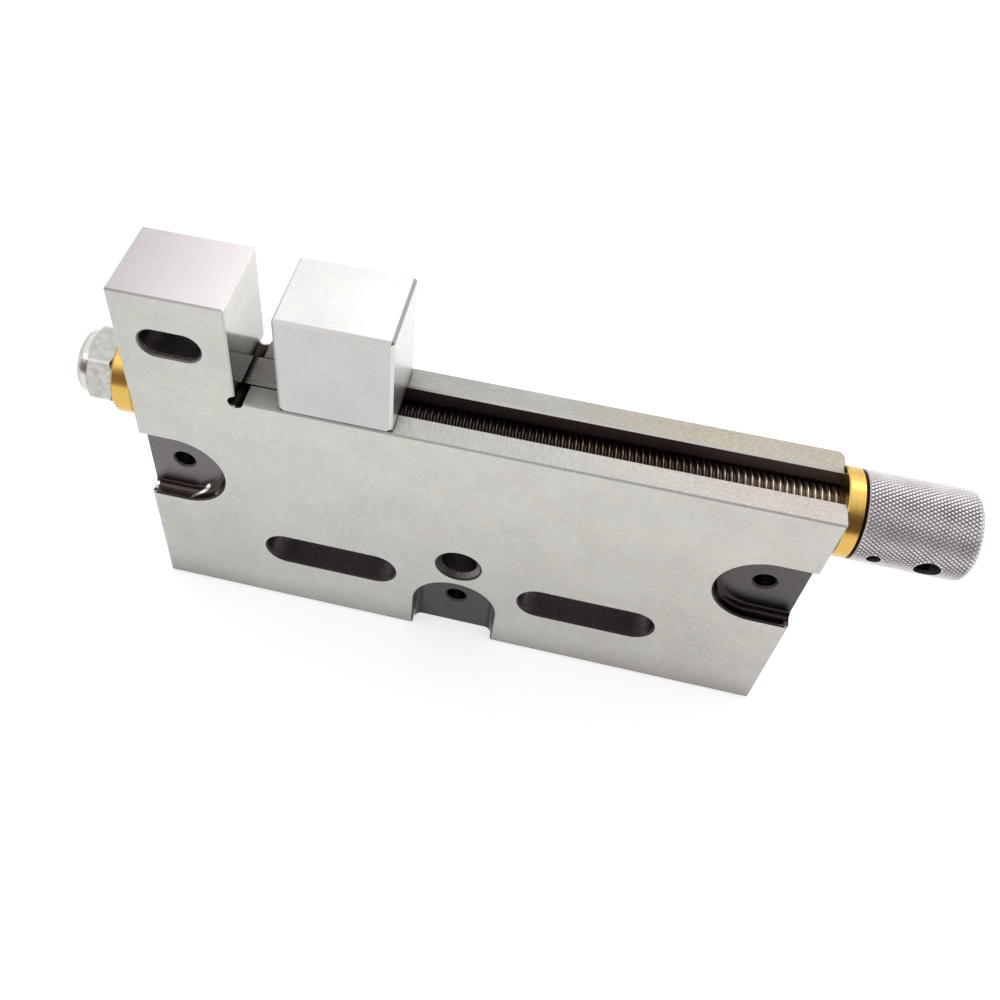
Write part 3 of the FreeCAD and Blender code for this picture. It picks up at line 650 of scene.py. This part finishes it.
def make_screw(material):
    """A right-hand thread about the screw's axis, then a plain shank in the bush and knob."""
    rows = len(THREAD_PROFILE)
    turns = int((SCREW_RIGHT - SCREW_LEFT) / THREAD_PITCH) + 4
    phase = np.array([share for share, _ in THREAD_PROFILE])
    level = np.array([share for _, share in THREAD_PROFILE])
    start = SCREW_LEFT - 2 * THREAD_PITCH
    column = np.arange(THREAD_COLUMNS)
    turn = np.repeat(np.arange(turns), rows)
    step = np.tile(phase, turns)
    x = start + THREAD_PITCH * (turn[:, None] + step[:, None] + column[None, :] / THREAD_COLUMNS)
    share = np.tile(level, turns)[:, None] + np.zeros((1, THREAD_COLUMNS))
    run_out = np.clip((x - THREAD_END) / THREAD_RUN_OUT, 0, 1)
    share = share + (1 - share) * run_out
    radius = SCREW_RADIUS - THREAD_DEPTH * (1 - share)
    room = np.minimum(x - SCREW_LEFT, SCREW_RIGHT - x)
    radius = np.minimum(radius, SCREW_RADIUS - SCREW_CHAMFER + np.clip(room, 0, None))
    angle = 2 * math.pi * column / THREAD_COLUMNS + np.zeros_like(x)
    points = np.stack([x, radius * np.cos(angle), AXIS_HEIGHT + radius * np.sin(angle)], -1)
    points = points.reshape(-1, 3)
    faces = []
    count = turns * rows
    for row in range(count - 1):
        for across in range(THREAD_COLUMNS):
            beside = across + 1
            near_row, far_row = row, row + 1
            if beside == THREAD_COLUMNS:
                beside = 0
                near_row, far_row = row + rows, row + 1 + rows
            if far_row >= count:
                continue
            faces.append((row * THREAD_COLUMNS + across, near_row * THREAD_COLUMNS + beside,
                          far_row * THREAD_COLUMNS + beside, (row + 1) * THREAD_COLUMNS + across))
    piece = make_piece("lead_screw_thread", points, faces, share.reshape(-1), material)
    shape = bmesh.new()
    shape.from_mesh(piece.data)
    for place, outward in ((SCREW_LEFT, -1), (SCREW_RIGHT, 1)):
        everything = shape.verts[:] + shape.edges[:] + shape.faces[:]
        bmesh.ops.bisect_plane(shape, geom=everything, plane_co=(place * MM, 0, 0),
                               plane_no=(outward, 0, 0), clear_outer=True)
    bmesh.ops.holes_fill(shape, edges=[edge for edge in shape.edges if edge.is_boundary])
    bmesh.ops.recalc_face_normals(shape, faces=shape.faces)
    shape.to_mesh(piece.data)
    shape.free()
    finish_mesh(piece, SCREW_SHARP_ANGLE)
    return piece


# Knob

KNOB_START = 84.05
KNOB_LENGTH = 24.2
KNOB_RADIUS = 10.19
KNOB_NOSE = 2.0
KNOB_CHAMFER = 0.4
KNOB_BORE = 5.0
KNOB_BORE_DEPTH = 11.0
KNOB_TURN = 10.0
BAR_HOLE_INSET = 8.6
BAR_HOLE_RADIUS = 2.75
GRUB_INSET = 4.4
GRUB_RADIUS = 1.5
GRUB_HOLE_START = 4.0
CUTTER_REACH = 12
CUTTER_SIDES = 48
KNURL_TEETH = 68
KNURL_PITCH = 1.42
KNURL_DEPTH = 0.21
KNURL_RIM = 0.25
KNURL_STEPS = 8
KNURL_FLAT = 0.55
KNOB_FACE_EDGE = 0.6
KNOB_SHARP_ANGLE = 25


def knob_limit(x):
    """The plain knob's radius at a distance from its inner end."""
    chamfer = KNOB_RADIUS - np.clip(KNOB_CHAMFER - x, 0, None)
    reach = np.clip(x - (KNOB_LENGTH - KNOB_NOSE), 0, KNOB_NOSE)
    nose = KNOB_RADIUS - KNOB_NOSE + np.sqrt(KNOB_NOSE ** 2 - reach ** 2)
    return np.minimum(chamfer, nose)


def plain_rims(x, columns):
    """1 at the rims of the bar hole and the set screw hole, where the knurl is filed away."""
    turn = 2 * math.pi * np.arange(columns)[None, :] / columns
    outward = math.radians(180 + KNOB_TURN)
    across = KNOB_RADIUS * np.sin(turn - outward)
    facing = np.cos(turn - outward)
    found = np.zeros((len(x), columns))
    holes = ((KNOB_LENGTH - BAR_HOLE_INSET, BAR_HOLE_RADIUS, True), (GRUB_INSET, GRUB_RADIUS, False))
    for place, radius, through in holes:
        distance = np.hypot(x[:, None] - place, across) - radius
        rim = np.clip(2 - 2 * distance / KNURL_RIM, 0, 1)
        found = np.maximum(found, rim if through else rim * (facing > 0))
    return found


def make_cutter(name, radius, place, start, end):
    """A many-sided rod across the knob, from start to end along the holes' direction."""
    turn = math.radians(KNOB_TURN)
    outward = np.array([0, -math.cos(turn), -math.sin(turn)])
    side = np.array([0, math.sin(turn), -math.cos(turn)])
    along = np.array([1.0, 0, 0])
    count = CUTTER_SIDES
    centre = np.array([KNOB_START + place, 0, AXIS_HEIGHT])
    points = []
    for distance in (start, end):
        for index in range(count):
            angle = 2 * math.pi * index / count
            ring = radius * (math.cos(angle) * along + math.sin(angle) * side)
            points.append(centre + ring + outward * distance)
    faces = [tuple(range(count))[::-1], tuple(range(count, 2 * count))]
    for index in range(count):
        beside = (index + 1) % count
        faces.append((index, beside, beside + count, index + count))
    mesh = bpy.data.meshes.new(name)
    mesh.from_pydata([tuple(point * MM) for point in points], [], faces)
    shape = bmesh.new()
    shape.from_mesh(mesh)
    bmesh.ops.recalc_face_normals(shape, faces=shape.faces)
    shape.to_mesh(mesh)
    shape.free()
    cutter = bpy.data.objects.new(name, mesh)
    bpy.context.scene.collection.objects.link(cutter)
    return cutter


def make_knob(material):
    """A knurled sleeve with a rounded nose, its bore, its bar hole and its set screw hole."""
    columns = KNURL_TEETH * KNURL_STEPS
    row_step = KNURL_PITCH / KNURL_STEPS
    count = int(KNOB_LENGTH / row_step)
    x = np.arange(count + 1) * row_step
    x = np.append(x[x < KNOB_LENGTH - 0.1], KNOB_LENGTH)
    column = np.arange(columns)
    row = np.arange(len(x))
    first = ((row[:, None] + column[None, :]) % KNURL_STEPS) / KNURL_STEPS
    second = ((column[None, :] - row[:, None]) % KNURL_STEPS) / KNURL_STEPS
    crossing = np.minimum(np.abs(2 * first - 1), np.abs(2 * second - 1))
    height = np.clip(crossing / KNURL_FLAT, 0, 1)
    height = np.maximum(height, plain_rims(x, columns))
    limit = knob_limit(x)[:, None]
    radius = np.minimum(KNOB_RADIUS - KNURL_DEPTH * (1 - height), limit)
    angle = 2 * math.pi * column[None, :] / columns + np.zeros_like(radius)
    place = x[:, None] + np.zeros_like(radius)
    across_y = radius * np.cos(angle)
    up_z = AXIS_HEIGHT + radius * np.sin(angle)
    points = np.stack([KNOB_START + place, across_y, up_z], -1)
    points = [tuple(point) for point in points.reshape(-1, 3)]
    heights = list(height.reshape(-1))
    faces = []
    half = KNURL_STEPS // 2
    for line in range(len(x) - 1):
        for across in range(columns):
            beside = (across + 1) % columns
            a = line * columns + across
            b = line * columns + beside
            c = (line + 1) * columns + beside
            d = (line + 1) * columns + across
            if (line + across + 1) % half == 0:
                faces += [(a, b, d), (b, c, d)]
            else:
                faces += [(a, b, c), (a, c, d)]

    def add_ring(distance, ring_radius):
        """One ring of the inside, with as many points as the knurl."""
        start = len(points)
        for index in range(columns):
            turn = 2 * math.pi * index / columns
            points.append((KNOB_START + distance, ring_radius * math.cos(turn),
                           AXIS_HEIGHT + ring_radius * math.sin(turn)))
            heights.append(1.0)
        return start

    def join(start, end):
        """Faces between two rings."""
        for index in range(columns):
            beside = (index + 1) % columns
            faces.append((start + index, start + beside, end + beside, end + index))

    last = (len(x) - 1) * columns
    face_edge = add_ring(KNOB_LENGTH, KNOB_RADIUS - KNOB_NOSE - KNOB_FACE_EDGE)
    join(last, face_edge)
    faces.append(tuple(face_edge + index for index in range(columns)))
    mouth = add_ring(0.0, KNOB_BORE)
    join(mouth, 0)
    bottom = add_ring(KNOB_BORE_DEPTH, KNOB_BORE)
    join(bottom, mouth)
    faces.append(tuple(bottom + index for index in reversed(range(columns))))
    blank = make_piece("knob_blank", points, faces, heights, material)
    shape = bmesh.new()
    shape.from_mesh(blank.data)
    bmesh.ops.recalc_face_normals(shape, faces=shape.faces)
    shape.to_mesh(blank.data)
    shape.free()

    bar_place = KNOB_LENGTH - BAR_HOLE_INSET
    cutters = [
        make_cutter("bar_cutter", BAR_HOLE_RADIUS, bar_place, -CUTTER_REACH, CUTTER_REACH),
        make_cutter("grub_cutter", GRUB_RADIUS, GRUB_INSET, GRUB_HOLE_START, CUTTER_REACH),
    ]
    for cutter in cutters:
        change = blank.modifiers.new(cutter.name, "BOOLEAN")
        change.operation = "DIFFERENCE"
        change.solver = "EXACT"
        change.object = cutter
    bpy.context.view_layer.update()
    ready = blank.evaluated_get(bpy.context.evaluated_depsgraph_get())
    mesh = bpy.data.meshes.new_from_object(ready)
    mesh.name = "knurled_knob"
    knob = bpy.data.objects.new("knurled_knob", mesh)
    bpy.context.scene.collection.objects.link(knob)
    for spare in (blank, *cutters):
        bpy.data.objects.remove(spare)
    finish_mesh(knob, KNOB_SHARP_ANGLE)
    return knob


# Studio

FLOOR_REACH = 1.6
FLOOR_LEVEL = -0.0003
FLOOR_COLOR = (0.86, 0.86, 0.86)
FLOOR_GLOW = 0.58
FLOOR_GLOSSY_SHARE = 0.86
SOFT_LIGHT = 0.65
SKY = 1.08
RIGHT_SKY = 1.50
LEFT_WINDOW = 1.6
ROOM_LEFT = (0.27, 0.205, 0.19)
ROOM_RIGHT = (0.13, 0.10, 0.095)
LAMP_PLACE = (0.20, 0.80, 1.15)
LAMP_TARGET = (0.0, 0.0, 0.06)
LAMP_SIZE = (1.0, 0.5)
LAMP_POWER = 2.4


def grey(level):
    """A colour with no hue."""
    return (level, level, level)


def make_floor():
    """A plain pale floor that keeps the shadow."""
    mesh = bpy.data.meshes.new("floor")
    corners = [(-1, -1), (1, -1), (1, 1), (-1, 1)]
    points = [(x * FLOOR_REACH, y * FLOOR_REACH, FLOOR_LEVEL) for x, y in corners]
    mesh.from_pydata(points, [], [(0, 1, 2, 3)])
    floor = bpy.data.objects.new("floor", mesh)
    bpy.context.scene.collection.objects.link(floor)
    material = bpy.data.materials.new("pale_floor")
    t = Tree(material)
    paths = t.node("ShaderNodeLightPath")
    mirrored = t.times(paths.outputs["Is Glossy Ray"], FLOOR_GLOSSY_SHARE)
    seen = t.top(paths.outputs["Is Camera Ray"], paths.outputs["Is Transmission Ray"], mirrored)
    diffuse = t.node("ShaderNodeBsdfDiffuse", {"Color": FLOOR_COLOR})
    glow = t.node("ShaderNodeEmission", {"Color": (1, 1, 1), "Strength": t.times(seen, FLOOR_GLOW)})
    both = t.node("ShaderNodeAddShader", {0: diffuse.outputs[0], 1: glow.outputs[0]})
    output = t.node("ShaderNodeOutputMaterial")
    t.link(both.outputs[0], output.inputs["Surface"])
    mesh.materials.append(material)


def make_world():
    """Soft light from all round and a white background.

    Polished faces also mirror a darker room in front, a brighter sky on the right and a
    window high on the left.
    """
    world = bpy.data.worlds.new("studio")
    bpy.context.scene.world = world
    t = Tree(world)
    paths = t.node("ShaderNodeLightPath")
    way = t.node("ShaderNodeTexCoord").outputs["Generated"]
    x, y, z = t.node("ShaderNodeSeparateXYZ", {0: way}).outputs
    side = t.ramp(x, -0.35, 0.25)
    front = t.fall(y, t.blend(side, -0.70, -0.50), t.blend(side, -0.30, 0.10))
    high = t.fall(z, t.blend(side, 0.45, 0.70), t.blend(side, 0.70, 1.0))
    dark = t.all(front, high, t.ramp(z, -0.20, -0.10))
    right_sky = t.all(t.ramp(x, 0.14, 0.30), t.ramp(y, -0.20, 0.10), t.ramp(z, 0.25, 0.50))
    left_window = t.all(t.fall(x, -0.30, -0.20), t.between(y, -0.65, -0.30, 0.1), t.ramp(z, 0.62, 0.72))
    bright = t.mix(right_sky, grey(SKY), grey(RIGHT_SKY))
    bright = t.mix(left_window, bright, grey(LEFT_WINDOW))
    room = t.mix(dark, bright, t.mix(side, ROOM_LEFT, ROOM_RIGHT))
    seen = t.top(paths.outputs["Is Camera Ray"], paths.outputs["Is Transmission Ray"])
    color = t.mix(paths.outputs["Is Glossy Ray"], grey(SOFT_LIGHT), room)
    color = t.mix(seen, color, grey(1.0))
    light = t.node("ShaderNodeBackground", {"Color": color, "Strength": 1.0})
    output = t.node("ShaderNodeOutputWorld")
    t.link(light.outputs[0], output.inputs["Surface"])


def make_lamp():
    """One wide soft lamp, high behind the vise."""
    data = bpy.data.lights.new("back_lamp", "AREA")
    data.shape = "RECTANGLE"
    data.size, data.size_y = LAMP_SIZE
    data.energy = LAMP_POWER
    lamp = bpy.data.objects.new("back_lamp", data)
    lamp.location = LAMP_PLACE
    facing = Vector(LAMP_TARGET) - Vector(LAMP_PLACE)
    lamp.rotation_euler = facing.to_track_quat("-Z", "Y").to_euler()
    bpy.context.scene.collection.objects.link(lamp)


make_camera()
make_world()
make_floor()
make_lamp()

brass = make_brass()
finishes = {
    "body": make_ground_steel(),
    "movable_jaw": make_jaw_steel(),
    "front_bush": brass,
    "rear_bush": brass,
    "knob_grub_screw": make_black_steel(),
    "lock_nut": make_plate(),
    "lock_nut_insert": make_nylon(),
}
for node, finish in finishes.items():
    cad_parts[node].data.materials.clear()
    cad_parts[node].data.materials.append(finish)

screw = make_screw(make_thread_steel())
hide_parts("lead_screw")
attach(screw, "spindle")

knob = make_knob(make_knurled_steel())
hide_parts("knob")
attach(knob, "spindle")

bpy.context.scene.view_settings.view_transform = "Standard"

bpy.context.view_layer.update()
